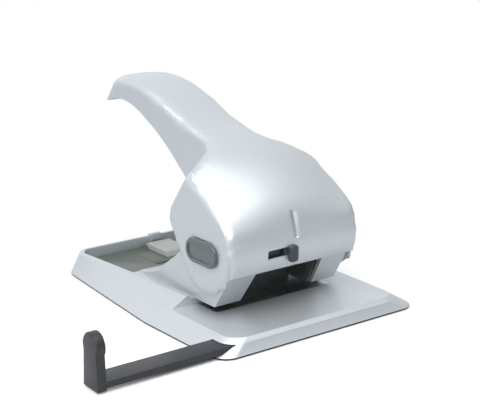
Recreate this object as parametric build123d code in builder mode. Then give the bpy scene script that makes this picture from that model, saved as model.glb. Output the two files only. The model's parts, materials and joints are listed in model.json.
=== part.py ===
from build123d import *
from math import cos, sin, radians, sqrt
import os

os.makedirs("parts", exist_ok=True)

# Two-hole lever punch. Millimetres, +Z up, front towards -Y.
# The origin is on the table, midway between the two punch pins.

# ---- driving dimensions ----------------------------------------------------

# paper and holes
hole_spacing = 80.0
pin_dia = 6.0
edge_to_hole = 12.0
throat = 4.6

# base
pad_thickness = 1.2
platform_height = 9.4
rim_above_deck = 2.0
tray_floor_height = 8.0
base_wall = 2.6
floor_wall = 2.0
rim_wall = 3.2
base_front = -60.0
base_back = 143.0
rim_clear_of_lever = 3.5
back_spread = 12.0
slope_back = 4.0
slope_waist = 25.5
slope_front = 23.5
waist_y = 22.0
base_corner = 12.0
rim_lean = 3.0
front_lean = 12.0
deck_back = 78.0

# lever
pivot_y = -3.0
pivot_z = 50.0
cheek_radius = 28.4
lever_wall = 2.4
panel_bottom = 36.0
neck_half_width = 21.5
handle_half_width = 22.8
handle_end_u = 211.0
shoulder_u = 71.0
shoulder_tilt = 37.3
shoulder_round = 14.0
neck_u = 90.0
neck_round = 18.0
end_round = 15.0
lever_travel_deg = 25.0

# fixed shroud
shroud_wall = 2.4
shroud_clear_of_lever = 0.4
leg_bottom_y = -10.5
window_flare = 2.8
stop_thickness = 1.5
leg_line_top = 34.0

# mechanism
shaft_dia = 10.0
steel = 2.0
pin_to_inner_plate = 13.0
plate_clear_of_bush = 1.0
web_y = 22.0
flange_above_leg = 1.0
flange_thickness = 2.5
bush_wall = 1.5
bush_height = 6.0
hub_wall = 2.5
pivot_bush_wall = 1.5
bar_thickness = 4.0
pin_above_leg = 1.0
head_overhang = 1.6
head_height = 2.0
shoe_reach = 16.4
shoe_radius = 5.0
arm_x = 15.5
arm_thickness = 3.0
shoe_width = 7.0
spring_wire = 1.0
spring_clear_of_pin = 0.8
spring_turns = 5

# paper guide
guide_outer_x = -160.5
guide_tab_thickness = 5.8
guide_tab_height = 33.6
guide_bar_width = 16.0
guide_bar_thickness = 3.8
guide_bar_bottom = 2.6
guide_bar_y = -45.9
guide_bar_end = -10.0
guide_push_in = 70.0

# chip hatch
hatch_half_width = 24.0
hatch_axis_y = 98.0
hatch_axis_z = 6.4
hatch_length = 36.0
hatch_tab_top = 12.5
hatch_tab_half_width = 10.0
hatch_slab = 2.6

# lock slider
slot_left = -23.5
slot_right = -0.6
slot_mid_z = 48.2
slot_height = 6.0
knob_width = 7.0
knob_height = 11.0

# mark at the middle of the lever's front
mark_bottom = 56.0
mark_top = 72.0
mark_width = 1.8
mark_depth = 0.5

# clearances
running = 0.05
gap = 0.3
press = 0.02

# ---- values that follow from them ------------------------------------------

pin_x = hole_spacing / 2
pin_r = pin_dia / 2
shaft_r = shaft_dia / 2
bush_r = pin_r + bush_wall
spring_radius = pin_r + spring_clear_of_pin + spring_wire / 2
bush_outer_r = shaft_r + pivot_bush_wall
hub_r = bush_outer_r + hub_wall
inner_plate_x = pin_x - pin_to_inner_plate
outer_plate_x = pin_x + bush_r + plate_clear_of_bush
shroud_half = outer_plate_x + steel + gap + shroud_wall
lever_half_width = shroud_half + shroud_clear_of_lever + lever_wall
window_half_top = inner_plate_x
window_half_bottom = inner_plate_x + window_flare
rim_half_front = lever_half_width + rim_clear_of_lever
rim_half_back = rim_half_front + back_spread
half_width_back = rim_half_back + slope_back
half_width_waist = rim_half_front + slope_waist
half_width_front = rim_half_front + slope_front
leg_bottom = platform_height + throat
deck_height = leg_bottom
rim_height = deck_height + rim_above_deck
flange_z = leg_bottom + flange_above_leg
bush_top = leg_bottom + bush_height
bar_bottom = pivot_z - hub_r - 1.0 - bar_thickness
pin_tip = leg_bottom + pin_above_leg
screw_row = (-pin_x, -arm_x - 0.5, arm_x + 0.5, pin_x)
panel_inner_r = cheek_radius - lever_wall
shroud_r = panel_inner_r - shroud_clear_of_lever
slot_half_height = slot_height / 2
travel = 2 * shoe_reach * sin(radians(lever_travel_deg / 2))
shoe_y = pivot_y + shoe_reach * cos(radians(lever_travel_deg / 2))
shoe_z = pivot_z + shoe_reach * sin(radians(lever_travel_deg / 2))
pad_top_z = shoe_z - shoe_radius - gap
bar_top = bar_bottom + bar_thickness
die_thickness = 2.0
die_front = -9.0
die_half = pin_x + 7.0


def around_pivot(radius, angle):
    """A point of the side view at this distance and angle from the pivot."""
    return (pivot_y + radius * cos(radians(angle)), pivot_z + radius * sin(radians(angle)))


def base_points(half_back, half_waist, half_front, back, front):
    """Corners of a base outline, wider at its waist, both sides alike."""
    right = [(half_back, back), (half_waist, waist_y), (half_front, front)]
    left = [(-x, y) for x, y in reversed(right)]
    return right + left


bottom_corners = base_points(half_width_back, half_width_waist, half_width_front, base_back, base_front)
top_corners = base_points(rim_half_back, rim_half_front, rim_half_front, base_back - rim_lean,
                          base_front + front_lean)


# ---- base ------------------------------------------------------------------

# the inside of the base, under the platform, the deck and the tray floor
with BuildPart() as base_cavity:
    with BuildSketch(Plane.XY.offset(pad_thickness)) as cavity_low:
        Polygon(*bottom_corners, align=None)
        fillet(cavity_low.vertices(), base_corner)
        offset(amount=-base_wall, mode=Mode.REPLACE)
    with BuildSketch(Plane.XY.offset(rim_height)) as cavity_high:
        Polygon(*top_corners, align=None)
        fillet(cavity_high.vertices(), base_corner)
        offset(amount=-base_wall, mode=Mode.REPLACE)
    loft(ruled=True)
    # a low ceiling under the die, a higher one over the guide bar and below the deck
    steps = [
        (-200, -30, platform_height - 2.4),
        (-30, edge_to_hole + base_wall, platform_height - die_thickness - 2.2),
        (edge_to_hole + base_wall, deck_back - base_wall, deck_height - 2.4),
        (deck_back - base_wall, 300, tray_floor_height - floor_wall),
    ]
    for y_from, y_to, ceiling in steps:
        with Locations((0, (y_from + y_to) / 2, ceiling)):
            Box(300, y_to - y_from, 40, align=(Align.CENTER, Align.CENTER, Align.MIN), mode=Mode.SUBTRACT)

hatch_opening_front = hatch_axis_y - 3.2
hatch_opening_back = hatch_axis_y + hatch_length + 0.4
hatch_opening_half = hatch_half_width + 0.4

with BuildPart() as base_shell:
    with BuildSketch(Plane.XY.offset(pad_thickness)) as shell_low:
        Polygon(*bottom_corners, align=None)
        fillet(shell_low.vertices(), base_corner)
    with BuildSketch(Plane.XY.offset(rim_height)) as shell_high:
        Polygon(*top_corners, align=None)
        fillet(shell_high.vertices(), base_corner)
    loft(ruled=True)
    # soft outer edge of the rims
    rim_edges = base_shell.edges().group_by(Axis.Z)[-1]
    fillet(rim_edges, 1.4)
    # the paper platform in front of the stop
    with Locations((0, edge_to_hole, platform_height)):
        Box(300, 200, 40, align=(Align.CENTER, Align.MAX, Align.MIN), mode=Mode.SUBTRACT)
    # the deck under the shroud and the tray behind it, inside the rims
    with BuildSketch(Plane.XY.offset(deck_height)) as deck_sketch:
        Polygon(*top_corners, align=None)
        fillet(deck_sketch.vertices(), base_corner)
        offset(amount=-rim_wall, mode=Mode.REPLACE)
        with Locations((0, edge_to_hole)):
            Rectangle(300, 200, align=(Align.CENTER, Align.MAX), mode=Mode.SUBTRACT)
    extrude(amount=20, mode=Mode.SUBTRACT)
    with BuildSketch(Plane.XY.offset(tray_floor_height)) as tray_sketch:
        Polygon(*top_corners, align=None)
        fillet(tray_sketch.vertices(), base_corner)
        offset(amount=-rim_wall, mode=Mode.REPLACE)
        with Locations((0, deck_back)):
            Rectangle(300, 300, align=(Align.CENTER, Align.MAX), mode=Mode.SUBTRACT)
    extrude(amount=20, mode=Mode.SUBTRACT)
    add(base_cavity.part, mode=Mode.SUBTRACT)
    # seat of the die plate, with a chip hole below each die
    with Locations((0, die_front - 0.1, platform_height)):
        Box(2 * die_half + 0.2, edge_to_hole - die_front, 2 * die_thickness,
            align=(Align.CENTER, Align.MIN, Align.CENTER), mode=Mode.SUBTRACT)
    with Locations((-pin_x, 0, 0), (pin_x, 0, 0)):
        Cylinder(pin_r + 1.4, 30, mode=Mode.SUBTRACT)
    # recess for the steel paper stop, in the front of the deck
    with Locations((0, edge_to_hole - 1, platform_height)):
        Box(2 * (inner_plate_x + 1.5), 1 + stop_thickness + 0.1, 20,
            align=(Align.CENTER, Align.MIN, Align.MIN), mode=Mode.SUBTRACT)
    # opening under the chip hatch
    with Locations((0, (hatch_opening_front + hatch_opening_back) / 2, tray_floor_height)):
        Box(2 * hatch_opening_half, hatch_opening_back - hatch_opening_front, 12, mode=Mode.SUBTRACT)
    # lugs that hold the hatch pin, at the sides of the opening
    for side in (-1, 1):
        with BuildSketch(Plane.YZ.offset(side * (hatch_opening_half + 1.2))) as lug:
            with Locations((hatch_axis_y, hatch_axis_z)):
                Circle(2.6)
            with Locations((hatch_axis_y, tray_floor_height - floor_wall / 2)):
                Rectangle(7, floor_wall)
            with Locations((hatch_axis_y, tray_floor_height)):
                Rectangle(12, 12, align=(Align.CENTER, Align.MIN), mode=Mode.SUBTRACT)
        extrude(amount=1.2, both=True)
    with BuildSketch(Plane.YZ) as lug_bore:
        with Locations((hatch_axis_y, hatch_axis_z)):
            Circle(1.0)
    extrude(amount=hatch_opening_half + 2.4, both=True, mode=Mode.SUBTRACT)
    # slot in the left side for the guide bar, as long as the bar slides in
    slot_end = guide_bar_end + guide_push_in + 2.0
    with Locations((slot_end, guide_bar_y, guide_bar_bottom + guide_bar_thickness / 2)):
        Box(slot_end + 100, guide_bar_width + 2 * gap, guide_bar_thickness + 2 * gap,
            align=(Align.MAX, Align.CENTER, Align.CENTER), mode=Mode.SUBTRACT)
    # ribs that guide the bar
    for side in (-1, 1):
        rib_y = guide_bar_y + side * (guide_bar_width / 2 + gap + 0.8)
        with Locations((0, rib_y, (pad_thickness + platform_height - 2.4) / 2)):
            Box(120, 1.6, platform_height - 2.4 - pad_thickness)
    # screw bosses under the deck
    with Locations(*[(x, 29, pad_thickness + 0.2) for x in screw_row]):
        Cylinder(4.2, deck_height - 2.4 - pad_thickness, align=(Align.CENTER, Align.CENTER, Align.MIN))
    with Locations(*[(x, 29, deck_height) for x in screw_row]):
        Cylinder(1.7, 22, mode=Mode.SUBTRACT)
base_shell.part.label = "base_shell"
export_step(base_shell.part, "parts/base_shell.step")

with BuildPart() as base_pad:
    with BuildSketch() as pad_outline:
        Polygon(*bottom_corners, align=None)
        fillet(pad_outline.vertices(), base_corner)
        offset(amount=-0.8, mode=Mode.REPLACE)
    extrude(amount=pad_thickness)
base_pad.part.label = "base_pad"
export_step(base_pad.part, "parts/base_pad.step")

with BuildPart() as tray_liner:
    with BuildSketch(Plane.XY.offset(tray_floor_height)) as liner_sketch:
        Polygon(*top_corners, align=None)
        fillet(liner_sketch.vertices(), base_corner)
        offset(amount=-rim_wall - gap, mode=Mode.REPLACE)
        with Locations((0, deck_back + gap)):
            Rectangle(300, 300, align=(Align.CENTER, Align.MAX), mode=Mode.SUBTRACT)
        with Locations((0, (hatch_opening_front + hatch_opening_back) / 2)):
            Rectangle(2 * hatch_opening_half, hatch_opening_back - hatch_opening_front, mode=Mode.SUBTRACT)
    extrude(amount=1.0)
tray_liner.part.label = "tray_liner"
export_step(tray_liner.part, "parts/tray_liner.step")

with BuildPart() as chip_hatch:
    with BuildSketch(Plane.YZ) as hatch_side:
        with Locations((hatch_axis_y, tray_floor_height + 1.0)):
            Rectangle(hatch_length, hatch_slab, align=(Align.MIN, Align.MAX))
        with Locations((hatch_axis_y, hatch_axis_z)):
            Circle(1.8)
    extrude(amount=hatch_half_width, both=True)
    with BuildSketch(Plane.YZ) as hatch_bore:
        with Locations((hatch_axis_y, hatch_axis_z)):
            Circle(1.0)
    extrude(amount=hatch_half_width + 1, both=True, mode=Mode.SUBTRACT)
chip_hatch.part.label = "chip_hatch"
export_step(chip_hatch.part, "parts/chip_hatch.step")

# raised finger tab on the hatch, undercut at its back for a fingernail
slab_top = tray_floor_height + 1.0
tab_front = hatch_axis_y + 7
tab_back = hatch_axis_y + hatch_length - 1
with BuildPart() as hatch_tab:
    with BuildSketch(Plane.YZ.offset(-hatch_tab_half_width)) as tab_side:
        with BuildLine():
            Polyline((tab_front, slab_top), (tab_front + 2, hatch_tab_top - 0.8), (tab_front + 4, hatch_tab_top),
                     (tab_back, hatch_tab_top), (tab_back, hatch_tab_top - 1.4), (tab_back - 4, slab_top),
                     close=True)
        make_face()
    extrude(amount=2 * hatch_tab_half_width)
    fillet(hatch_tab.edges().filter_by(Axis.X).group_by(Axis.Z)[-1], 0.6)
hatch_tab.part.label = "hatch_tab"
export_step(hatch_tab.part, "parts/hatch_tab.step")

with BuildPart() as hatch_pin:
    with BuildSketch(Plane.YZ) as hatch_pin_end:
        with Locations((hatch_axis_y, hatch_axis_z)):
            Circle(1.0 - running)
    extrude(amount=hatch_opening_half + 2.2, both=True)
hatch_pin.part.label = "hatch_pin"
export_step(hatch_pin.part, "parts/hatch_pin.step")

# small catch standing on the middle of the back rim
rim_back = base_back - rim_lean
with BuildPart() as hatch_catch:
    with BuildSketch(Plane.YZ) as catch_side:
        with BuildLine():
            Polyline((rim_back - rim_wall - 1.6, 10.2), (rim_back - rim_wall, 10.2),
                     (rim_back - rim_wall, rim_height), (rim_back - 0.8, rim_height),
                     (rim_back - 0.8, rim_height + 1.6), (rim_back - rim_wall - 1.6, rim_height + 1.6),
                     close=True)
        make_face()
    extrude(amount=4.5, both=True)
    fillet(hatch_catch.edges().filter_by(Axis.X).group_by(Axis.Z)[-1], 0.7)
hatch_catch.part.label = "hatch_catch"
export_step(hatch_catch.part, "parts/hatch_catch.step")

with BuildPart() as die_plate:
    with Locations((0, die_front, platform_height)):
        Box(2 * die_half, edge_to_hole - die_front - 0.4, die_thickness,
            align=(Align.CENTER, Align.MIN, Align.MAX))
    with Locations((-pin_x, 0, 0), (pin_x, 0, 0)):
        Cylinder(pin_r + running, 40, mode=Mode.SUBTRACT)
die_plate.part.label = "die_plate"
export_step(die_plate.part, "parts/die_plate.step")

# ---- paper guide -----------------------------------------------------------

guide_half = guide_bar_width / 2
with BuildPart() as paper_guide:
    with Locations((guide_outer_x + 1, guide_bar_y, guide_bar_bottom)):
        Box(guide_bar_end - guide_outer_x - 1, guide_bar_width, guide_bar_thickness,
            align=(Align.MIN, Align.CENTER, Align.MIN))
    with BuildSketch(Plane.YZ.offset(guide_outer_x)) as tab_profile:
        with BuildLine():
            tab_left = Line((guide_bar_y - guide_half, 1.0), (guide_bar_y - guide_half + 1.2, 22.0))
            tab_arch = ThreePointArc(tab_left @ 1, (guide_bar_y, 1.0 + guide_tab_height),
                                     (guide_bar_y + guide_half - 1.2, 22.0))
            tab_right = Line(tab_arch @ 1, (guide_bar_y + guide_half, 1.0))
            Line(tab_right @ 1, tab_left @ 0)
        make_face()
    extrude(amount=guide_tab_thickness)
    chamfer(paper_guide.faces().sort_by(Axis.X)[0].edges().filter_by(GeomType.CIRCLE), 0.8)
paper_guide.part.label = "paper_guide"
export_step(paper_guide.part, "parts/paper_guide.step")

with BuildPart() as guide_spring:
    leaf_top = platform_height - 2.4
    with Locations((-50, guide_bar_y, leaf_top)):
        Box(26, 9, leaf_top - guide_bar_bottom - guide_bar_thickness - 0.2,
            align=(Align.CENTER, Align.CENTER, Align.MAX))
guide_spring.part.label = "guide_spring"
export_step(guide_spring.part, "parts/guide_spring.step")

# ---- steel punch frame -----------------------------------------------------

frame_back = [
    (edge_to_hole + 0.4, deck_height), (web_y + steel, deck_height), (web_y + steel, 41), (12, 60), (-6, 62),
    (-14, 56), (-16, 40), (-16.8, 33),
]
# the inner plates reach lower than the flanges, down to the paper slot
inner_plate_side = [(-8.8, leg_bottom + gap), (edge_to_hole + 0.4, leg_bottom + gap)] + frame_back
outer_plate_side = [(-7.6, flange_z), (edge_to_hole + 0.4, flange_z)] + frame_back

with BuildPart() as punch_frame:
    for side in (-1, 1):
        for plate_x, corners in ((inner_plate_x, inner_plate_side), (outer_plate_x, outer_plate_side)):
            plate_plane = Plane.YZ.offset(side * (plate_x + steel / 2))
            with BuildSketch(plate_plane) as side_plate:
                Polygon(*corners, align=None)
            extrude(amount=steel / 2, both=True)
        # flange that carries the guide bush
        flange_left = inner_plate_x + steel / 2
        with Locations((side * ((flange_left + outer_plate_x) / 2 + 0.5), 2.0, flange_z)):
            Box(outer_plate_x - flange_left + 1, 18, flange_thickness,
                align=(Align.CENTER, Align.CENTER, Align.MIN))
        # slot in the inner plate for the crosshead bar
        with Locations((side * (inner_plate_x + steel / 2), 7.0, bar_bottom - travel - 1.5)):
            Box(steel + 1, 26, bar_thickness + travel + 3, align=(Align.CENTER, Align.CENTER, Align.MIN),
                mode=Mode.SUBTRACT)
    # back web and its foot
    with Locations((0, web_y, deck_height)):
        Box(2 * (outer_plate_x + steel), steel, 26, align=(Align.CENTER, Align.MIN, Align.MIN))
    with Locations((0, web_y, deck_height)):
        Box(2 * (outer_plate_x + steel), 13, steel, align=(Align.CENTER, Align.MIN, Align.MIN))
    # paper stop below the crosshead, bent back to the web
    stop_top = bar_bottom - travel - 0.7
    with Locations((0, edge_to_hole, platform_height + gap)):
        Box(2 * (inner_plate_x + 0.5), stop_thickness, stop_top - platform_height - gap,
            align=(Align.CENTER, Align.MIN, Align.MIN))
    with Locations((0, edge_to_hole, stop_top)):
        Box(2 * (inner_plate_x + 0.5), web_y + 0.5 - edge_to_hole, stop_thickness,
            align=(Align.CENTER, Align.MIN, Align.MAX))
    with Locations((-pin_x, 0, flange_z), (pin_x, 0, flange_z)):
        Cylinder(bush_r + press, 12, mode=Mode.SUBTRACT)
    with Locations(*[(x, 29, deck_height) for x in screw_row]):
        Cylinder(2.1, 12, mode=Mode.SUBTRACT)
    with BuildSketch(Plane.YZ) as shaft_bore:
        with Locations((pivot_y, pivot_z)):
            Circle(shaft_r + press)
    extrude(amount=lever_half_width, both=True, mode=Mode.SUBTRACT)
punch_frame.part.label = "punch_frame"
export_step(punch_frame.part, "parts/punch_frame.step")

with BuildPart() as frame_screws:
    with Locations(*[(x, 29, deck_height + steel) for x in screw_row]):
        Cylinder(3.4, 2.2, align=(Align.CENTER, Align.CENTER, Align.MIN))
        Cylinder(1.68, 12, align=(Align.CENTER, Align.CENTER, Align.MAX))
frame_screws.part.label = "frame_screws"
export_step(frame_screws.part, "parts/frame_screws.step")

for name, side in (("left", -1), ("right", 1)):
    with BuildPart() as guide_bush:
        with Locations((side * pin_x, 0, leg_bottom + 0.4)):
            Cylinder(bush_r, bush_top - leg_bottom - 0.4, align=(Align.CENTER, Align.CENTER, Align.MIN))
        with Locations((side * pin_x, 0, flange_z + flange_thickness)):
            Cylinder(bush_r + 0.8, bush_top - flange_z - flange_thickness,
                     align=(Align.CENTER, Align.CENTER, Align.MIN))
        with Locations((side * pin_x, 0, 0)):
            Cylinder(pin_r + running, 80, mode=Mode.SUBTRACT)
    guide_bush.part.label = "guide_bush_" + name
    export_step(guide_bush.part, "parts/guide_bush_" + name + ".step")

# ---- pivot -----------------------------------------------------------------

shaft_half = lever_half_width - 1.2
clip_x = inner_plate_x - 1.1
with BuildPart() as pivot_shaft:
    with BuildSketch(Plane.YZ) as shaft_end:
        with Locations((pivot_y, pivot_z)):
            Circle(shaft_r)
    extrude(amount=shaft_half, both=True)
    chamfer(pivot_shaft.edges().filter_by(GeomType.CIRCLE), 0.6)
    for side in (-1, 1):
        with BuildSketch(Plane.YZ.offset(side * clip_x)) as groove:
            with Locations((pivot_y, pivot_z)):
                Circle(shaft_r + 1)
                Circle(shaft_r - 0.5, mode=Mode.SUBTRACT)
        extrude(amount=0.5, both=True, mode=Mode.SUBTRACT)
pivot_shaft.part.label = "pivot_shaft"
export_step(pivot_shaft.part, "parts/pivot_shaft.step")

with BuildPart() as shaft_clips:
    for side in (-1, 1):
        with BuildSketch(Plane.YZ.offset(side * clip_x)) as clip:
            with Locations((pivot_y, pivot_z)):
                Circle(shaft_r + 2.5)
                Circle(shaft_r - 0.48, mode=Mode.SUBTRACT)
            with Locations((pivot_y, pivot_z + shaft_r)):
                Rectangle(5, 9, mode=Mode.SUBTRACT)
        extrude(amount=0.45, both=True)
shaft_clips.part.label = "shaft_clips"
export_step(shaft_clips.part, "parts/shaft_clips.step")

# ---- crosshead and punch pins ----------------------------------------------

with BuildPart() as crosshead:
    with Locations((0, 7, bar_bottom)):
        Box(2 * (outer_plate_x - 1.0), 24, bar_thickness, align=(Align.CENTER, Align.CENTER, Align.MIN))
    for side in (-1, 1):
        with BuildSketch(Plane.YZ.offset(side * (arm_x + arm_thickness + shoe_width / 2))) as riser:
            with BuildLine():
                Polyline((shoe_y - 7, bar_top - 0.5), (shoe_y - 4.4, pad_top_z), (shoe_y + 4.4, pad_top_z),
                         (shoe_y + 6, bar_top - 0.5), close=True)
            make_face()
        extrude(amount=shoe_width / 2 - gap, both=True)
    with Locations((-pin_x, 0, bar_bottom), (pin_x, 0, bar_bottom)):
        Cylinder(pin_r + press, 20, mode=Mode.SUBTRACT)
crosshead.part.label = "crosshead"
export_step(crosshead.part, "parts/crosshead.step")

for name, side in (("left", -1), ("right", 1)):
    with BuildPart() as punch_pin:
        with Locations((side * pin_x, 0, pin_tip)):
            Cylinder(pin_r, bar_top - pin_tip, align=(Align.CENTER, Align.CENTER, Align.MIN))
        with Locations((side * pin_x, 0, bar_top)):
            Cylinder(pin_r + head_overhang, head_height, align=(Align.CENTER, Align.CENTER, Align.MIN))
        # hollow-ground cutting end
        with BuildSketch(Plane.XZ) as grind:
            with Locations((side * pin_x, pin_tip - 3.4)):
                Circle(4.4)
        extrude(amount=10, both=True, mode=Mode.SUBTRACT)
    punch_pin.part.label = "punch_pin_" + name
    export_step(punch_pin.part, "parts/punch_pin_" + name + ".step")

with BuildPart() as pin_clips:
    with Locations((-pin_x, 0, bar_bottom), (pin_x, 0, bar_bottom)):
        Cylinder(pin_r + 2.0, 0.8, align=(Align.CENTER, Align.CENTER, Align.MAX))
        Cylinder(pin_r + press, 8, mode=Mode.SUBTRACT)
pin_clips.part.label = "pin_clips"
export_step(pin_clips.part, "parts/pin_clips.step")

spring_length = bar_bottom - 0.8 - bush_top
for name, side in (("left", -1), ("right", 1)):
    coil_height = spring_length - spring_wire
    with BuildPart() as punch_spring:
        coil_base = Plane((side * pin_x, 0, bush_top + spring_wire / 2))
        with BuildLine(coil_base) as coil:
            Helix(pitch=coil_height / spring_turns, height=coil_height, radius=spring_radius)
        with BuildSketch(Plane(coil.line @ 0, z_dir=coil.line % 0)) as wire:
            Circle(spring_wire / 2)
        sweep()
    punch_spring.part.label = "punch_spring_" + name
    export_step(punch_spring.part, "parts/punch_spring_" + name + ".step")

# ---- fixed shroud ----------------------------------------------------------

leg_top = (pivot_y - sqrt(shroud_r ** 2 - (pivot_z - leg_line_top) ** 2), leg_line_top)
fan_points = [(26.0, 45.0), (37.6, 34.4), (46.5, 28.2), (59.0, 20.4), (70.0, 16.2)]
inner_r = shroud_r - shroud_wall
inner_leg_top = (pivot_y - sqrt(inner_r ** 2 - (pivot_z - leg_line_top) ** 2), leg_line_top)

with BuildPart() as body_shell:
    with BuildSketch(Plane.YZ) as shroud_side:
        with BuildLine():
            front = Line((leg_bottom_y, leg_bottom), leg_top)
            dome = ThreePointArc(leg_top, around_pivot(shroud_r, 110), around_pivot(shroud_r, 12))
            fan = Spline(dome @ 1, *fan_points, (deck_back - 0.5, leg_bottom + 0.6))
            Polyline(fan @ 1, (deck_back - 0.5, leg_bottom), front @ 0)
        make_face()
    extrude(amount=shroud_half, both=True)
    # hollow inside, open at the top for the lever's arms
    with BuildSketch(Plane.YZ) as shroud_inside:
        with BuildLine():
            inner_front = Line((leg_bottom_y + 2.8, leg_bottom - 1), inner_leg_top)
            inner_dome = ThreePointArc(inner_front @ 1, around_pivot(inner_r, 190), around_pivot(inner_r, 172))
            Polyline(inner_dome @ 1, (inner_dome @ 1 + Vector(-10, 0)), (-40, 100), (26, 100), (23.5, 44.0))
            inner_fan = Spline((23.5, 44.0), (35.8, 32.4), (45.2, 25.8), (57.6, 18.2), (66.0, leg_bottom - 1))
            Line(inner_fan @ 1, inner_front @ 0)
        make_face()
    extrude(amount=shroud_half - shroud_wall, both=True, mode=Mode.SUBTRACT)
    # front window between the legs
    with BuildSketch(Plane.XZ.offset(5)) as window:
        Polygon((-window_half_bottom, leg_bottom - 1), (window_half_bottom, leg_bottom - 1),
                (window_half_top, panel_bottom), (window_half_top, 90), (-window_half_top, 90),
                (-window_half_top, panel_bottom), align=None)
    extrude(amount=40, mode=Mode.SUBTRACT)
    with BuildSketch(Plane.YZ) as shroud_bore:
        with Locations((pivot_y, pivot_z)):
            Circle(shaft_r + gap)
    extrude(amount=lever_half_width, both=True, mode=Mode.SUBTRACT)
body_shell.part.label = "body_shell"
export_step(body_shell.part, "parts/body_shell.step")

# ---- lever -----------------------------------------------------------------

# The lever's side view, cut by a bottle-shaped outline seen square to the shoulder.
tilt_sin = sin(radians(shoulder_tilt))
tilt_cos = cos(radians(shoulder_tilt))
below = 200.0
shoulder_plane = Plane((0, below * tilt_sin, -below * tilt_cos), x_dir=(1, 0, 0), z_dir=(0, -tilt_sin, tilt_cos))
# side view of the crowned top, at its middle and at the cheeks
top_middle = [(-28.9, 64.5), (-26.2, 72.0), (-11.5, 88.8), (7.0, 101.0), (30.0, 109.2), (50.0, 113.6),
              (70.0, 119.7), (95.0, 129.0), (116.0, 135.0), (138.0, 137.6), (160.0, 135.0), (195.0, 122.0)]
top_sides = [(-28.3, 64.2), (-21.5, 71.4), (-6.5, 80.6), (11.5, 92.6), (31.0, 102.0), (50.0, 105.0),
             (70.0, 109.0), (95.0, 118.0), (116.0, 124.0), (138.0, 126.0), (160.0, 123.0), (195.0, 110.0)]
under_points = [(195.0, 108.0), (160.0, 118.5), (138.0, 120.6), (114.0, 114.0), (90.0, 101.2), (74.5, 89.6),
                (62.0, 79.4), (50.0, 72.8), (38.5, 68.4)]
cheek_back = [(36.6, 62.4), (32.4, 54.6), (26.0, 45.0)]
cheek_end_angle = -52
panel_top_angle = 165


def bottle_outline(inset):
    """The outline, drawn in by this much; u runs from the hood to the handle's end."""
    half = lever_half_width - inset
    neck = neck_half_width - inset
    grip = handle_half_width - inset
    end = handle_end_u - inset
    right = [(half, -60), (half, shoulder_u - 0.7 * inset), (neck, neck_u - 0.5 * inset), (grip, 150),
             (grip - 1.5, end)]
    left = [(-x, u) for x, u in reversed(right)]
    with BuildSketch(shoulder_plane) as bottle:
        Polygon(*right, *left, align=None)
        fillet(bottle.vertices().filter_by_position(Axis.Y, shoulder_u - 5, shoulder_u + 1),
               shoulder_round - 0.5 * inset)
        fillet(bottle.vertices().filter_by_position(Axis.Y, neck_u - 3, neck_u + 1), neck_round + inset)
        fillet(bottle.vertices().group_by(Axis.Y)[-1], end_round - inset)
    return bottle.sketch


def crowned_top(x, inset):
    """Points of the top at this distance from the middle plane, drawn in by this much."""
    share = (x / lever_half_width) ** 2
    line = [around_pivot(cheek_radius, panel_top_angle)]
    for middle, side in zip(top_middle, top_sides):
        line.append((middle[0] + (side[0] - middle[0]) * share, middle[1] + (side[1] - middle[1]) * share))
    drawn = []
    for before, point, after in zip(line, line[1:], line[2:] + line[-1:]):
        along_y = after[0] - before[0]
        along_z = after[1] - before[1]
        length = sqrt(along_y ** 2 + along_z ** 2)
        drawn.append((point[0] + inset * along_z / length, point[1] - inset * along_y / length))
    return drawn


def outer_section(x):
    """The lever's closed side view at this distance from its middle plane."""
    with BuildSketch(Plane.YZ.offset(x)) as section:
        with BuildLine():
            cheek = ThreePointArc(around_pivot(cheek_radius, cheek_end_angle),
                                  around_pivot(cheek_radius, -123.5),
                                  around_pivot(cheek_radius, panel_top_angle))
            top = Spline(cheek @ 1, *crowned_top(x, 0))
            Line(top @ 1, under_points[0])
            under = Spline(*under_points)
            Spline(under @ 1, *cheek_back, cheek @ 0)
        make_face()
    return section.sketch


def hollow_section(x, inset):
    """The space this far inside the lever's front and top, open below."""
    with BuildSketch(Plane.YZ.offset(x)) as section:
        with BuildLine():
            low = Polyline((-90, -20), (-90, panel_bottom), around_pivot(cheek_radius - inset, 210))
            wall = ThreePointArc(low @ 1, around_pivot(cheek_radius - inset, 190),
                                 around_pivot(cheek_radius - inset, panel_top_angle))
            roof = Spline(wall @ 1, *crowned_top(x, inset))
            Polyline(roof @ 1, (195, -20), low @ 0)
        make_face()
    return section.sketch


section_share = (-1.0, -0.5, 0.0, 0.5, 1.0)
with BuildPart() as lever_outer:
    loft(sections=[outer_section(share * lever_half_width) for share in section_share])
    extrude(bottle_outline(0), amount=2 * below, mode=Mode.INTERSECT)

# the hollow of the cover, open below
hollow_half = lever_half_width - lever_wall
with BuildPart() as lever_inner:
    loft(sections=[hollow_section(share * hollow_half, lever_wall) for share in section_share])
    extrude(bottle_outline(lever_wall), amount=2 * below, mode=Mode.INTERSECT)

# shallow groove that marks the middle of the front
with BuildPart() as centre_mark:
    with BuildSketch(Plane.XZ.offset(15)) as mark_outline:
        with Locations((0, (mark_bottom + mark_top) / 2)):
            SlotOverall(mark_top - mark_bottom, mark_width, rotation=90)
    extrude(amount=30)
    loft(sections=[hollow_section(share * 20, mark_depth) for share in section_share], mode=Mode.SUBTRACT)

# bosses that hang from the roof for the yoke's screws
yoke_top = 88.0
screw_places = [(x, y) for x in (-11, 11) for y in (13, 31)]
with BuildPart() as roof_bosses:
    with Locations(*[(x, y, yoke_top) for x, y in screw_places]):
        Cylinder(4.0, 40, align=(Align.CENTER, Align.CENTER, Align.MIN))
    add(lever_outer.part, mode=Mode.INTERSECT)

slot_mid_x = (slot_left + slot_right) / 2
slot_length = slot_right - slot_left
cap_length = 33.0
cap_width = 16.4
cap_centre = (pivot_y + 1.5, pivot_z - 1.5)
cap_seat = 0.8

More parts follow.
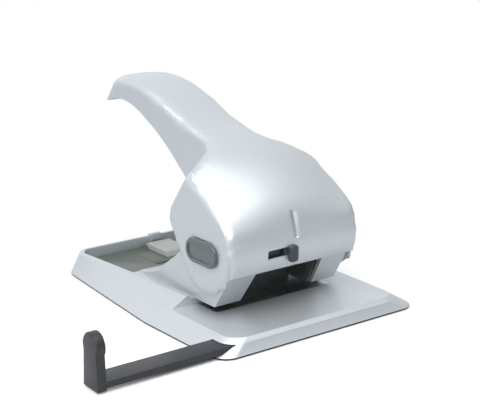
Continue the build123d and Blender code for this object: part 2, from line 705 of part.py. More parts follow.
with BuildPart() as lever_cover:
    add(lever_outer.part)
    add(lever_inner.part, mode=Mode.SUBTRACT)
    add(roof_bosses.part)
    with Locations(*[(x, y, yoke_top) for x, y in screw_places]):
        Cylinder(1.7, 14, mode=Mode.SUBTRACT)
    add(centre_mark.part, mode=Mode.SUBTRACT)
    # slot for the lock slider
    with BuildSketch(Plane.XZ.offset(20)) as lock_slot:
        with Locations((slot_mid_x, slot_mid_z)):
            RectangleRounded(slot_length, slot_height, 1.2)
    extrude(amount=30, mode=Mode.SUBTRACT)
    # shaft bore and the seats of the pivot caps
    with BuildSketch(Plane.YZ) as lever_bore:
        with Locations((pivot_y, pivot_z)):
            Circle(shaft_r + running)
    extrude(amount=lever_half_width, both=True, mode=Mode.SUBTRACT)
    for side in (-1, 1):
        with BuildSketch(Plane.YZ.offset(side * lever_half_width)) as seat:
            with Locations(cap_centre):
                SlotOverall(cap_length + 0.2, cap_width + 0.2)
        extrude(amount=cap_seat, both=True, mode=Mode.SUBTRACT)
lever_cover.part.label = "lever_cover"
export_step(lever_cover.part, "parts/lever_cover.step")

# plate that closes the underside of the handle
with BuildPart() as handle_underplate:
    with BuildSketch(Plane.YZ.offset(-40)) as underplate_side:
        with BuildLine():
            lower = Spline(*[(y, z + 1.2) for y, z in under_points[:-1]])
            upper = Spline(*[(y, z + 3.2) for y, z in under_points[:-1]])
            Line(lower @ 0, upper @ 0)
            Line(lower @ 1, upper @ 1)
        make_face()
    extrude(amount=80)
    extrude(bottle_outline(lever_wall + 0.1), amount=2 * below, mode=Mode.INTERSECT)
handle_underplate.part.label = "handle_underplate"
export_step(handle_underplate.part, "parts/handle_underplate.step")

# ---- yoke ------------------------------------------------------------------

yoke_plate = 2.4
with BuildPart() as lever_yoke:
    for side in (-1, 1):
        with BuildSketch(Plane.YZ.offset(side * arm_x + min(0, side) * arm_thickness)) as arm:
            with BuildLine():
                Polyline((pivot_y - hub_r + 0.6, pivot_z + 3), (7, yoke_top), (37, yoke_top),
                         (30, 74), (shoe_y + 6, shoe_z + 3), (shoe_y + 3, shoe_z - 3),
                         (pivot_y + 4, pivot_z - hub_r + 1), close=True)
            make_face()
            with Locations((pivot_y, pivot_z)):
                Circle(hub_r)
            with Locations((shoe_y, shoe_z)):
                Circle(shoe_radius - 0.6)
            with Locations((pivot_y, pivot_z)):
                Circle(bush_outer_r + press, mode=Mode.SUBTRACT)
            with Locations((shoe_y, shoe_z)):
                Circle(2.5 + press, mode=Mode.SUBTRACT)
        extrude(amount=arm_thickness)
    with Locations((0, 22, yoke_top)):
        Box(2 * arm_x, 30, yoke_plate, align=(Align.CENTER, Align.CENTER, Align.MAX))
    with Locations(*[(x, y, yoke_top) for x, y in screw_places]):
        Cylinder(1.9, 12, mode=Mode.SUBTRACT)
lever_yoke.part.label = "lever_yoke"
export_step(lever_yoke.part, "parts/lever_yoke.step")

with BuildPart() as lever_screws:
    with Locations(*[(x, y, yoke_top - yoke_plate) for x, y in screw_places]):
        Cylinder(3.2, 2.0, align=(Align.CENTER, Align.CENTER, Align.MAX))
        Cylinder(1.68, 9.0, align=(Align.CENTER, Align.CENTER, Align.MIN))
lever_screws.part.label = "lever_screws"
export_step(lever_screws.part, "parts/lever_screws.step")

with BuildPart() as pivot_bushes:
    for side in (-1, 1):
        with BuildSketch(Plane.YZ.offset(side * arm_x)) as bush_tube:
            with Locations((pivot_y, pivot_z)):
                Circle(bush_outer_r)
                Circle(shaft_r + running, mode=Mode.SUBTRACT)
        extrude(amount=side * (arm_thickness + 1.0))
        with BuildSketch(Plane.YZ.offset(side * (arm_x + arm_thickness))) as bush_flange:
            with Locations((pivot_y, pivot_z)):
                Circle(bush_outer_r + 1.5)
                Circle(shaft_r + running, mode=Mode.SUBTRACT)
        extrude(amount=side * 1.0)
pivot_bushes.part.label = "pivot_bushes"
export_step(pivot_bushes.part, "parts/pivot_bushes.step")

with BuildPart() as cam_shoes:
    for side in (-1, 1):
        with BuildSketch(Plane.YZ.offset(side * (arm_x + arm_thickness))) as shoe:
            with Locations((shoe_y, shoe_z)):
                Circle(shoe_radius)
        extrude(amount=side * shoe_width)
        with BuildSketch(Plane.YZ.offset(side * arm_x)) as shoe_stub:
            with Locations((shoe_y, shoe_z)):
                Circle(2.5)
        extrude(amount=side * (arm_thickness + 1))
cam_shoes.part.label = "cam_shoes"
export_step(cam_shoes.part, "parts/cam_shoes.step")

# ---- pivot caps and lock slider --------------------------------------------

for name, side in (("left", -1), ("right", 1)):
    cap_back = side * (lever_half_width - cap_seat)
    with BuildPart() as pivot_cap:
        with BuildSketch(Plane.YZ.offset(cap_back)) as cap_outline:
            with Locations(cap_centre):
                SlotOverall(cap_length, cap_width)
        extrude(amount=side * (cap_seat + 2.0))
        cap_face = pivot_cap.faces().sort_by(Axis.X)[-1 if side > 0 else 0]
        fillet(cap_face.edges(), 1.2)
        with BuildSketch(Plane.YZ.offset(side * (lever_half_width + 2.0))) as dish:
            with Locations(cap_centre):
                SlotOverall(cap_length - 6, cap_width - 6)
        extrude(amount=0.7, both=True, mode=Mode.SUBTRACT)
    pivot_cap.part.label = "pivot_cap_" + name
    export_step(pivot_cap.part, "parts/pivot_cap_" + name + ".step")

knob_x = slot_right - knob_width / 2 - gap
foot_outer_r = panel_inner_r - gap
foot_inner_r = foot_outer_r - 1.4


def ring_slice(outer_r, inner_r, low_z, high_z):
    """A slice of a ring about the pivot, on its front side, between two heights."""
    with BuildSketch(Plane.YZ) as ring:
        with Locations((pivot_y, pivot_z)):
            Circle(outer_r)
            Circle(inner_r, mode=Mode.SUBTRACT)
        with Locations((pivot_y - outer_r, (low_z + high_z) / 2)):
            Rectangle(outer_r, high_z - low_z, mode=Mode.INTERSECT)
    return ring.sketch


with BuildPart() as lock_slider:
    foot = ring_slice(foot_outer_r, foot_inner_r, slot_mid_z - slot_half_height - 2.4,
                      slot_mid_z + slot_half_height + 2.4)
    extrude(foot.moved(Location((knob_x - knob_width / 2 - 1, 0, 0))), amount=knob_width + 2)
    neck_depth = cheek_radius - foot_inner_r + 1.5
    with Locations((knob_x, pivot_y - foot_inner_r - 0.2, slot_mid_z)):
        Box(knob_width - 0.4, neck_depth, slot_height - 2 * gap, align=(Align.CENTER, Align.MAX, Align.CENTER))
    with BuildSketch(Plane.XZ.offset(cheek_radius + gap - pivot_y)) as knob:
        with Locations((knob_x, slot_mid_z - 1.5)):
            RectangleRounded(knob_width, knob_height, 2.2)
    extrude(amount=2.8)
    fillet(lock_slider.faces().sort_by(Axis.Y)[0].edges(), 1.2)
lock_slider.part.label = "lock_slider"
export_step(lock_slider.part, "parts/lock_slider.step")

with BuildPart() as lock_backplate:
    back_ring = ring_slice(foot_inner_r - gap, foot_inner_r - gap - 1.2, slot_mid_z - 7, slot_mid_z + 7)
    extrude(back_ring.moved(Location((slot_left - 2, 0, 0))), amount=slot_length + 6)
    # side walls that stand on the panel
    for wall_x in (slot_left - 2, slot_right + 2.8):
        side_ring = ring_slice(panel_inner_r - running, foot_inner_r - gap - 1.2, slot_mid_z - 7, slot_mid_z + 7)
        extrude(side_ring.moved(Location((wall_x, 0, 0))), amount=1.2)
lock_backplate.part.label = "lock_backplate"
export_step(lock_backplate.part, "parts/lock_backplate.step")

print("crosshead travel", round(travel, 3), "coupling m/rad", travel / radians(lever_travel_deg) / 1000)
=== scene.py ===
# %% [markdown]
# # A two-hole lever punch
# This notebook dresses a imported model of a desk hole punch. The model arrives as a fixed frame of named
# pieces, set down in place; the pieces made here to stand for them ride on the body they move with. Here the
# painted shells get their soft moulded edges, every surface gets a finish made from shader nodes, and a
# plain pale studio is set up round it.

import json
from math import radians

import bmesh
import bpy
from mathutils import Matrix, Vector
from mathutils.kdtree import KDTree


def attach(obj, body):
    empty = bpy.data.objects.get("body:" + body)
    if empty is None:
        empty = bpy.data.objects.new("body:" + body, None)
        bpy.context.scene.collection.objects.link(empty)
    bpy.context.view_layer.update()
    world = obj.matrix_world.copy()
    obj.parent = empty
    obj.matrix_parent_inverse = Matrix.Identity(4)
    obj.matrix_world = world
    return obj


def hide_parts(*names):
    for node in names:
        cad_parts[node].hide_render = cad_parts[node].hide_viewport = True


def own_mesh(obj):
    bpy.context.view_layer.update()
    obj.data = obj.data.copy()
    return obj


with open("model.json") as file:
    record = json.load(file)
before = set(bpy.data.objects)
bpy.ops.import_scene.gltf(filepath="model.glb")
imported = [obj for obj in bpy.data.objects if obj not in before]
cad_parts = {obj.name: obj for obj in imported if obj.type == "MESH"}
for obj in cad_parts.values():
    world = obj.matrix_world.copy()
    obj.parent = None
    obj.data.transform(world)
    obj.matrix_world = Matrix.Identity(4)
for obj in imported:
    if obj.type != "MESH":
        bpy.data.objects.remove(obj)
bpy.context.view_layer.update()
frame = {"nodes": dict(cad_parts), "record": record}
nodes = frame["nodes"]
print("pieces in the frame:", len(nodes))

# %% [markdown]
# The camera stands low at the front left, a little more than 0.7 m away, with a long lens, so the punch
# shows its left cheek, its broad front and the tray behind, with little perspective.

# %% Camera
camera_data = bpy.data.cameras.new("studio_camera")
camera_data.lens = 90.0
camera_data.sensor_width = 36.0
camera = bpy.data.objects.new("studio_camera", camera_data)
camera.location = (-0.46274, -0.59148, 0.28295)
camera.rotation_euler = (radians(90 - 16.050), 0, radians(-36.684))
bpy.context.scene.collection.objects.link(camera)
bpy.context.scene.camera = camera
bpy.context.scene.view_settings.view_transform = "Standard"
print("camera at", tuple(camera.location))

# %% [markdown]
# Small helpers keep the shader code readable. Each adds one step to a node tree, takes sockets or plain
# values, and gives back the socket with the result.


# %% Helpers for shader nodes
FLOAT = "NodeSocketFloat"
COLOR = "NodeSocketColor"
VECTOR = "NodeSocketVector"
# a mix node has sockets for every data type, and these are the ones for colours
MIX_FIRST = 6
MIX_SECOND = 7
MIX_RESULT = 2


def node(tree, kind, **values):
    """A shader node with plain values on its inputs."""
    made = tree.nodes.new(kind)
    for name, value in values.items():
        made.inputs[name.replace("_", " ")].default_value = value
    return made


def join(tree, source, target):
    """Links two sockets."""
    tree.links.new(source, target)


def feed(tree, source, target):
    """Puts another socket's result, or a plain value, on an input."""
    if isinstance(source, bpy.types.NodeSocket):
        join(tree, source, target)
    else:
        target.default_value = source


def mixed(tree, factor, first, second):
    """The colour between these two, as far along as the factor says."""
    step = node(tree, "ShaderNodeMix")
    step.data_type = "RGBA"
    join(tree, factor, step.inputs["Factor"])
    feed(tree, first, step.inputs[MIX_FIRST])
    feed(tree, second, step.inputs[MIX_SECOND])
    return step.outputs[MIX_RESULT]


def ranged(tree, value, **limits):
    """A value carried from one range into another, and held at the ends."""
    step = node(tree, "ShaderNodeMapRange", **limits)
    join(tree, value, step.inputs["Value"])
    return step.outputs["Result"]


def worked_out(tree, operation, *terms):
    """The result of one calculation."""
    step = node(tree, "ShaderNodeMath")
    step.operation = operation
    for term, target in zip(terms, step.inputs):
        feed(tree, term, target)
    return step.outputs[0]


def noise(tree, place, scale, **values):
    """Noise that stays fixed to these coordinates."""
    step = node(tree, "ShaderNodeTexNoise", **values)
    join(tree, place, step.inputs["Vector"])
    feed(tree, scale, step.inputs["Scale"])
    return step.outputs["Fac"]


def raised(tree, height, strength, distance):
    """The normal of a surface that is raised by a height."""
    step = node(tree, "ShaderNodeBump", Distance=distance)
    feed(tree, strength, step.inputs["Strength"])
    join(tree, height, step.inputs["Height"])
    return step.outputs["Normal"]


# %% [markdown]
# A shared effect is a node group, built once. Each one gives a colour, a roughness and a normal, and keeps
# its own textures fixed to the piece.


# %% An empty effect
def new_effect(name, inputs):
    """A group with these named inputs, with what goes in, what comes out and where a point is."""
    group = bpy.data.node_groups.new(name, "ShaderNodeTree")
    for label, kind, value in inputs:
        made = group.interface.new_socket(name=label, in_out="INPUT", socket_type=kind)
        made.default_value = value
    for label, kind in (("Color", COLOR), ("Roughness", FLOAT), ("Normal", VECTOR)):
        group.interface.new_socket(name=label, in_out="OUTPUT", socket_type=kind)
    given = node(group, "NodeGroupInput").outputs
    result = node(group, "NodeGroupOutput").inputs
    place = node(group, "ShaderNodeTexCoord").outputs["Object"]
    return group, given, result, place


# %% [markdown]
# Metallic paint holds tiny flakes and is never perfectly flat. Its colour varies a little from flake to
# flake, its roughness has faint handling marks, and its normal has a trace of orange peel.


# %% Effect: metallic paint
def metallic_paint():
    group, given, result, place = new_effect(
        "metallic_paint",
        [("Color", COLOR, (0.7, 0.7, 0.7, 1)), ("Shade", COLOR, (0.5, 0.5, 0.5, 1)),
         ("Roughness", FLOAT, 0.3), ("Flake Scale", FLOAT, 2600.0), ("Peel Scale", FLOAT, 160.0),
         ("Peel", FLOAT, 0.03)])
    flakes = node(group, "ShaderNodeTexVoronoi", Randomness=1.0)
    join(group, place, flakes.inputs["Vector"])
    join(group, given["Flake Scale"], flakes.inputs["Scale"])
    flake = node(group, "ShaderNodeSeparateColor")
    join(group, flakes.outputs["Color"], flake.inputs["Color"])
    amount = ranged(group, flake.outputs["Red"], To_Max=0.35)
    join(group, mixed(group, amount, given["Color"], given["Shade"]), result["Color"])
    marks = noise(group, place, 38.0, Detail=5.0, Roughness=0.6)
    change = ranged(group, marks, From_Min=0.3, From_Max=0.7, To_Min=-0.025, To_Max=0.035)
    join(group, worked_out(group, "ADD", given["Roughness"], change), result["Roughness"])
    peel = noise(group, place, given["Peel Scale"], Detail=2.0)
    join(group, raised(group, peel, given["Peel"], 0.0004), result["Normal"])
    return group


paint_group = metallic_paint()

# %% [markdown]
# Moulded plastic has a fine spark-eroded grain. The same effect serves every plastic and the rubber pad,
# with its own scale and depth in each.


# %% Effect: moulded grain
def moulded_grain():
    group, given, result, place = new_effect(
        "moulded_grain",
        [("Color", COLOR, (0.1, 0.1, 0.1, 1)), ("Worn Color", COLOR, (0.2, 0.2, 0.2, 1)),
         ("Roughness", FLOAT, 0.5), ("Grain Scale", FLOAT, 900.0), ("Grain", FLOAT, 0.2)])
    cloud = noise(group, place, 60.0, Detail=6.0, Roughness=0.65)
    worn = ranged(group, cloud, From_Min=0.35, From_Max=0.75)
    join(group, mixed(group, worn, given["Color"], given["Worn Color"]), result["Color"])
    roughness = worked_out(group, "MULTIPLY_ADD", worn, 0.12, given["Roughness"])
    join(group, roughness, result["Roughness"])
    grain = noise(group, place, given["Grain Scale"], Detail=3.0, Roughness=0.7)
    join(group, raised(group, grain, given["Grain"], 0.0003), result["Normal"])
    return group


grain_group = moulded_grain()

# %% [markdown]
# Steel parts inside the punch are ground or plated. Stretched noise gives fine lines along one direction,
# and a second, slower noise gives patches of oil and handling.


# %% Effect: ground steel
def ground_steel():
    group, given, result, place = new_effect(
        "ground_steel",
        [("Color", COLOR, (0.6, 0.6, 0.6, 1)), ("Stain", COLOR, (0.4, 0.4, 0.4, 1)),
         ("Roughness", FLOAT, 0.3), ("Line Depth", FLOAT, 0.2)])
    stretch = node(group, "ShaderNodeMapping", Scale=(40.0, 1400.0, 1400.0))
    join(group, place, stretch.inputs["Vector"])
    lines = noise(group, stretch.outputs["Vector"], 1.0, Detail=3.0)
    cloud = noise(group, place, 120.0, Detail=5.0, Roughness=0.6)
    stained = ranged(group, cloud, From_Min=0.4, From_Max=0.7)
    join(group, mixed(group, stained, given["Color"], given["Stain"]), result["Color"])
    roughness = worked_out(group, "MULTIPLY_ADD", lines, 0.18, given["Roughness"])
    join(group, roughness, result["Roughness"])
    join(group, raised(group, lines, given["Line Depth"], 0.0001), result["Normal"])
    return group


steel_group = ground_steel()

# %% [markdown]
# Each finish is one material: a Principled shader with plain values, and one of the groups for what changes
# over the surface.


# %% Materials
def finish_from(name, group, values, **shader_values):
    """A material whose colour, roughness and normal come from a group."""
    material = bpy.data.materials.new(name)
    material.use_nodes = True
    tree = material.node_tree
    shader = tree.nodes["Principled BSDF"]
    effect = tree.nodes.new("ShaderNodeGroup")
    effect.node_tree = group
    for label, value in values.items():
        effect.inputs[label].default_value = value
    for label in ("Color", "Roughness", "Normal"):
        target = "Base Color" if label == "Color" else label
        join(tree, effect.outputs[label], shader.inputs[target])
    for label, value in shader_values.items():
        shader.inputs[label.replace("_", " ")].default_value = value
    return material


finishes = {
    "silver_shell": finish_from(
        "silver_paint", paint_group,
        {"Color": (0.64, 0.67, 0.7, 1), "Shade": (0.5, 0.53, 0.555, 1), "Roughness": 0.42},
        Metallic=0.6, Coat_Weight=0.3, Coat_Roughness=0.2),
    "grey_liner": finish_from(
        "grey_green_liner", grain_group,
        {"Color": (0.085, 0.1, 0.085, 1), "Worn Color": (0.115, 0.132, 0.115, 1), "Roughness": 0.34,
         "Grain": 0.06},
        Coat_Weight=0.25, Coat_Roughness=0.2),
    "pale_hatch": finish_from(
        "pale_hatch_plastic", grain_group,
        {"Color": (0.46, 0.465, 0.44, 1), "Worn Color": (0.52, 0.525, 0.5, 1), "Roughness": 0.42,
         "Grain": 0.08}),
    "bright_steel": finish_from(
        "bright_steel", steel_group,
        {"Color": (0.62, 0.62, 0.63, 1), "Stain": (0.45, 0.45, 0.45, 1), "Roughness": 0.22}, Metallic=1.0),
    "dark_steel": finish_from(
        "dark_plated_steel", steel_group,
        {"Color": (0.1, 0.11, 0.11, 1), "Stain": (0.15, 0.155, 0.15, 1), "Roughness": 0.38}, Metallic=0.4),
    "bronze_bush": finish_from(
        "sintered_bronze", steel_group,
        {"Color": (0.5, 0.36, 0.18, 1), "Stain": (0.3, 0.2, 0.1, 1), "Roughness": 0.45}, Metallic=1.0),
    "black_guide": finish_from(
        "black_guide_plastic", grain_group,
        {"Color": (0.018, 0.018, 0.022, 1), "Worn Color": (0.032, 0.032, 0.036, 1), "Roughness": 0.36,
         "Grain": 0.1}, Coat_Weight=0.15, Coat_Roughness=0.3),
    "black_rubber": finish_from(
        "non_slip_pad", grain_group,
        {"Color": (0.02, 0.02, 0.022, 1), "Worn Color": (0.04, 0.04, 0.042, 1), "Roughness": 0.75,
         "Grain": 0.5}),
    "cap_green_grey": finish_from(
        "green_grey_cap", grain_group,
        {"Color": (0.07, 0.095, 0.095, 1), "Worn Color": (0.085, 0.11, 0.11, 1), "Roughness": 0.2,
         "Grain": 0.03}, Coat_Weight=0.8, Coat_Roughness=0.04),
    "charcoal_slider": finish_from(
        "charcoal_slider", grain_group,
        {"Color": (0.035, 0.042, 0.045, 1), "Worn Color": (0.06, 0.067, 0.07, 1), "Roughness": 0.35,
         "Grain": 0.1}),
}
print("finishes:", sorted(finishes))

# %% [markdown]
# Every piece of the frame takes the finish that the record names for it.

# %% Dress the frame
slot_of = {row["node"]: row["material_slot"] for row in frame["record"]["subparts"]}
for name, piece in nodes.items():
    piece.data.materials.clear()
    piece.data.materials.append(finishes[slot_of[name]])

# %% [markdown]
# Moulded and pressed pieces have no knife edges: light catches a rounded line along every corner. Small
# edges on the steel and plastic pieces are bevelled on a merged copy of the piece, which then stands for it.

# %% Copy a piece as one skin
mm = 0.001
FOLD = radians(28)
OUTSIDE = 1
body_of_node = {}
for body, members in frame["record"]["behaviour"]["bodies"].items():
    for name in members:
        body_of_node[name] = body


def merged_skin(name):
    """The piece's loose triangles joined into one skin, with each flat area as one face."""
    skin = bmesh.new()
    skin.from_mesh(nodes[name].data)
    bmesh.ops.remove_doubles(skin, verts=skin.verts, dist=1e-6)
    bmesh.ops.dissolve_degenerate(skin, dist=1e-6, edges=skin.edges)
    bmesh.ops.dissolve_limit(skin, angle_limit=radians(0.4), use_dissolve_boundaries=False,
                             verts=skin.verts, edges=skin.edges, delimit=set())
    return skin


def sharp_edges(skin):
    """The edges where the skin folds."""
    return [e for e in skin.edges if e.is_manifold and e.calc_face_angle(0) > FOLD]


def middle_of(edge):
    """The middle of an edge."""
    return (edge.verts[0].co + edge.verts[1].co) / 2


def stand_in(name, skin):
    """Turns the skin into a piece that stands for the node and moves with its body."""
    for face in skin.faces:
        face.material_index = 0
    mesh = bpy.data.meshes.new(name + "_soft")
    skin.to_mesh(mesh)
    skin.free()
    mesh.shade_smooth()
    mesh.set_sharp_from_angle(angle=radians(30))
    mesh.materials.append(finishes[slot_of[name]])
    piece = bpy.data.objects.new(name + "_soft", mesh)
    bpy.context.scene.collection.objects.link(piece)
    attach(piece, body_of_node[name])
    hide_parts(name)
    return piece


# %% Bevel the small pieces
def bevel(skin, corners, width):
    """Cuts these corners round."""
    bmesh.ops.bevel(skin, geom=corners, offset=width, offset_type="OFFSET", affect="EDGES", segments=3,
                    profile=0.5, material=-1, clamp_overlap=True)


bevel_widths = {
    "paper_guide": 0.6, "chip_hatch": 0.4, "hatch_catch": 0.3, "handle_underplate": 0.3,
    "tray_liner": 0.25, "punch_frame": 0.3, "crosshead": 0.3, "lever_yoke": 0.4,
}
for name, width in bevel_widths.items():
    skin = merged_skin(name)
    corners = sharp_edges(skin)
    bevel(skin, corners, width * mm)
    stand_in(name, skin)
    print(name, "bevelled along", len(corners), "edges")

# %% [markdown]
# The painted shells have wider, softer corners than a bevel can cut into a curved surface. So the skin is
# divided finely beside a corner, and then relaxed there: each point moves towards the middle of its
# neighbours, again and again, until the corner has become a round one. Only points nearer to the corner than
# its radius move. Points on the rim of a wall stay, so the wall keeps its thickness.


# %% Relax a corner until it is round
def mark_outside(skin, corners):
    """Marks the faces that can be reached from the corners without crossing another fold."""
    corner_set = set(corners)
    reached = {face for edge in corners for face in edge.link_faces}
    waiting = list(reached)
    while waiting:
        for edge in waiting.pop().edges:
            if not edge.is_manifold:
                continue
            if edge.calc_face_angle(0) > FOLD and edge not in corner_set:
                continue
            for other in edge.link_faces:
                if other not in reached:
                    reached.add(other)
                    waiting.append(other)
    for face in reached:
        face.material_index = OUTSIDE


def outside_points(skin):
    """The points with nothing but outside faces round them."""
    return [v for v in skin.verts if all(face.material_index == OUTSIDE for face in v.link_faces)]


def points_along(edges, step):
    """Points along these edges, about this far apart."""
    points = []
    for edge in edges:
        start, end = edge.verts
        count = max(1, round(edge.calc_length() / step))
        points += [start.co.lerp(end.co, i / count) for i in range(count + 1)]
    return points


def tree_of(points):
    """A search tree of these points."""
    tree = KDTree(len(points))
    for index, point in enumerate(points):
        tree.insert(point, index)
    tree.balance()
    return tree


def gap_to(tree, point):
    """How far this point is from the nearest one in the tree."""
    return tree.find(point)[2]


def divide_outside(skin, longest, tree=None, reach=0.0):
    """Splits the outside's edges until they are no longer than this, everywhere or near the tree."""
    most_rounds = 9
    for _ in range(most_rounds):
        split = []
        for edge in skin.edges:
            if edge.calc_length() < longest or not any(f.material_index == OUTSIDE for f in edge.link_faces):
                continue
            start, end = edge.verts
            if tree and min(gap_to(tree, p) for p in (start.co, end.co, middle_of(edge))) > reach:
                continue
            split.append(edge)
        if not split:
            break
        bmesh.ops.subdivide_edges(skin, edges=split, cuts=1, use_grid_fill=False)
        many_sided = [f for f in skin.faces if len(f.verts) > 3 and f.material_index == OUTSIDE]
        bmesh.ops.triangulate(skin, faces=many_sided, quad_method="BEAUTY", ngon_method="BEAUTY")


def move_inwards(skin, points, factor):
    """Moves each point by this share of the way to the middle of its neighbours."""
    bmesh.ops.smooth_vert(skin, verts=points, factor=factor, use_axis_x=True, use_axis_y=True,
                          use_axis_z=True)


def relax(skin, passes, tree, reach):
    """Rounds the outside near the tree, and says how many points moved."""
    loose = [v for v in outside_points(skin) if gap_to(tree, v.co) < reach]
    for _ in range(passes):
        move_inwards(skin, loose, 0.5)
    return len(loose)


def even_out(skin, pairs, kept, reach):
    """Takes small waves out of the outside, other than near the kept points, and doesn't shrink it."""
    loose = [v for v in outside_points(skin) if gap_to(kept, v.co) > reach]
    for factor in (0.5, -0.53) * pairs:
        move_inwards(skin, loose, factor)


def round_corners(skin, corners, radius, passes):
    """Divides and relaxes the skin beside these corners."""
    spacing = radius / 4
    tree = tree_of(points_along(corners, spacing))
    divide_outside(skin, spacing * 1.5, tree, radius + spacing)
    return relax(skin, passes, tree, radius)


# %% [markdown]
# On the lever, the corner between its crowned top and its sides is about 5 mm round, all the way from the
# bottom of the front panel, up the cheeks, over the shoulders and along the handle. The cheeks' thin lower
# and back edges are left as the model has them.

# %% Round the lever
# one direction out of the hood's sloping top, and one along it towards the handle
top_normal = Vector((0, -0.606, 0.795))
top_along = Vector((0, 0.795, 0.606))
crest_bottom = 36.2 * mm
# the front panel's own folds, inside its edges, aren't part of the crest
panel_half_width = 40 * mm
panel_end = 74 * mm
panel_back = -20 * mm


def is_top(face):
    """True for the crowned top and the front panel."""
    on_front = face.normal.y < -0.5 and face.calc_center_median().y < panel_back
    return face.normal.dot(top_normal) > 0.35 or on_front


def is_crest(edge):
    """True for a sharp edge between the top and an outer side."""
    middle = middle_of(edge)
    if middle.z < crest_bottom or not edge.is_convex:
        return False
    if abs(middle.x) < panel_half_width and middle.dot(top_along) < panel_end:
        return False
    return sum(is_top(face) for face in edge.link_faces) == 1


skin = merged_skin("lever_cover")
mark_outside(skin, [edge for edge in sharp_edges(skin) if is_crest(edge)])
divide_outside(skin, 4 * mm)
crest = [edge for edge in sharp_edges(skin) if is_crest(edge)]
moved = round_corners(skin, crest, 5.5 * mm, passes=26)
# the shoulders, and the line where the front panel meets the top, are rounded more widely
shoulders = tree_of([Vector((side * 51 * mm, 14 * mm, 93 * mm)) for side in (-1, 1)])
for reach in (24, 20, 16, 12, 8):
    relax(skin, 12, shoulders, reach * mm)
panel_line = tree_of([Vector((side * x * mm, -30.4 * mm, 57.4 * mm))
                      for side in (-1, 1) for x in range(12, 45, 2)])
divide_outside(skin, 2 * mm, panel_line, 8 * mm)
for reach in (8, 6, 4):
    relax(skin, 6, panel_line, reach * mm)
centre_mark = tree_of([Vector((0, -31 * mm, z * mm)) for z in range(54, 75, 2)])
even_out(skin, 18, centre_mark, 5 * mm)
piece = stand_in("lever_cover", skin)
print("lever: crest of", len(crest), "edges,", moved, "points relaxed,", len(piece.data.polygons), "faces")

# %% [markdown]
# The fixed shroud shows its corners along its fan-shaped sides and down its two legs. The part of it inside
# the lever, and its lower rim, stay as they are.

# %% Round the shroud
shroud_rim = 14.4 * mm
shroud_side = 49.9 * mm
fan_front = 16 * mm
leg_back = -8 * mm
leg_top = 40 * mm


def is_shroud_corner(edge):
    """True for a sharp outer corner of the shroud that the lever doesn't cover."""
    middle = middle_of(edge)
    if not edge.is_convex or middle.z < shroud_rim or abs(middle.x) < shroud_side:
        return False
    return middle.y > fan_front or (middle.y < leg_back and middle.z < leg_top)


skin = merged_skin("body_shell")
corners = [edge for edge in sharp_edges(skin) if is_shroud_corner(edge)]
mark_outside(skin, corners)
moved = round_corners(skin, corners, 2.4 * mm, passes=16)
piece = stand_in("body_shell", skin)
print("shroud:", len(corners), "corner edges,", moved, "points relaxed,", len(piece.data.polygons), "faces")

# %% Bevel the base and the slider
for name in ("base_shell", "lock_slider"):
    skin = merged_skin(name)
    corners = [edge for edge in sharp_edges(skin) if edge.is_convex]
    bevel(skin, corners, 0.4 * mm)
    stand_in(name, skin)
    print(name, "bevelled along", len(corners), "edges")

# %% [markdown]
# The two return springs get shorter as the crosshead comes down. Their lower ends stand on the guide bushes,
# so each spring's smooth copy rides on the base; nothing here makes it shorter.

# %% Springs on the base
for name in ("punch_spring_left", "punch_spring_right"):
    coil = bpy.data.objects.new(name + "_coil", nodes[name].data.copy())
    bpy.context.scene.collection.objects.link(coil)
    coil.data.shade_smooth()
    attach(coil, "base")
    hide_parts(name)
    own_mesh(coil)

# %% [markdown]
# The floor is near white to the camera close to the punch, with a soft shadow on it, and pure white further
# off. The punch reflects a greyer one.

# %% Floor
WHITE = (1, 1, 1, 1)
bpy.ops.mesh.primitive_plane_add(size=6.0, location=(0, 0, -0.0002))
floor = bpy.context.active_object
floor.name = "floor"
floor_material = bpy.data.materials.new("pale_floor")
floor_material.use_nodes = True
tree = floor_material.node_tree
seen = node(tree, "ShaderNodeLightPath").outputs["Is Camera Ray"]
shader = tree.nodes["Principled BSDF"]
shader.inputs["Roughness"].default_value = 0.8
floor_color = mixed(tree, seen, (0.6, 0.61, 0.62, 1), (0.93, 0.93, 0.94, 1))
join(tree, floor_color, shader.inputs["Base Color"])
distance = node(tree, "ShaderNodeVectorMath")
distance.operation = "LENGTH"
join(tree, node(tree, "ShaderNodeTexCoord").outputs["Object"], distance.inputs[0])
far_off = ranged(tree, distance.outputs["Value"], From_Min=0.12, From_Max=0.34)
white_floor = node(tree, "ShaderNodeEmission", Color=WHITE, Strength=1.0)
fade = node(tree, "ShaderNodeMixShader")
join(tree, worked_out(tree, "MULTIPLY", far_off, seen), fade.inputs["Fac"])
join(tree, shader.outputs["BSDF"], fade.inputs[1])
join(tree, white_floor.outputs["Emission"], fade.inputs[2])
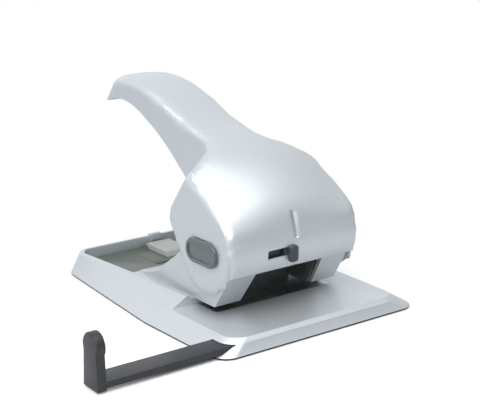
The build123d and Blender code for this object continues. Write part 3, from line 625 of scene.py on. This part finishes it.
join(tree, fade.outputs["Shader"], tree.nodes["Material Output"].inputs["Surface"])
floor.data.materials.append(floor_material)

# %% [markdown]
# The room that the punch reflects is dim near the horizon in front and at the sides, and bright overhead and
# low down behind, so that its slopes differ in tone. The camera itself sees white.

# %% Room
world = bpy.data.worlds.new("pale_studio")
bpy.context.scene.world = world
world.use_nodes = True
tree = world.node_tree
direction = node(tree, "ShaderNodeSeparateXYZ")
join(tree, node(tree, "ShaderNodeTexCoord").outputs["Generated"], direction.inputs["Vector"])
height = direction.outputs["Z"]
behind = worked_out(tree, "MAXIMUM", direction.outputs["Y"], 0.0)
low_band = ranged(tree, height, From_Min=0.35, From_Max=0.9, To_Min=0.9, To_Max=0.0)
ceiling = ranged(tree, height, To_Max=0.75)
brightness = worked_out(tree, "MULTIPLY_ADD", behind, low_band, ceiling)
room = tree.nodes["Background"]
room.inputs["Strength"].default_value = 1.0
join(tree, mixed(tree, brightness, (0.16, 0.185, 0.175, 1), (0.95, 0.97, 1.0, 1)), room.inputs["Color"])
backdrop = node(tree, "ShaderNodeBackground", Color=WHITE, Strength=1.0)
choose = node(tree, "ShaderNodeMixShader")
join(tree, node(tree, "ShaderNodeLightPath").outputs["Is Camera Ray"], choose.inputs["Fac"])
join(tree, room.outputs["Background"], choose.inputs[1])
join(tree, backdrop.outputs["Background"], choose.inputs[2])
join(tree, choose.outputs["Shader"], tree.nodes["World Output"].inputs["Surface"])


# %% Lamps
def soft_lamp(name, place, size, power):
    """A square area lamp that points at the punch."""
    lamp_data = bpy.data.lights.new(name, "AREA")
    lamp_data.shape = "SQUARE"
    lamp_data.size = size
    lamp_data.energy = power
    lamp = bpy.data.objects.new(name, lamp_data)
    lamp.location = place
    aim = Vector((0, 0.03, 0.06))
    lamp.rotation_euler = (aim - Vector(place)).to_track_quat("-Z", "Y").to_euler()
    bpy.context.scene.collection.objects.link(lamp)


soft_lamp("key_lamp", (-0.4, -0.38, 1.1), 1.6, 18.0)
soft_lamp("fill_lamp", (-1.1, -0.45, 0.3), 0.9, 2.0)
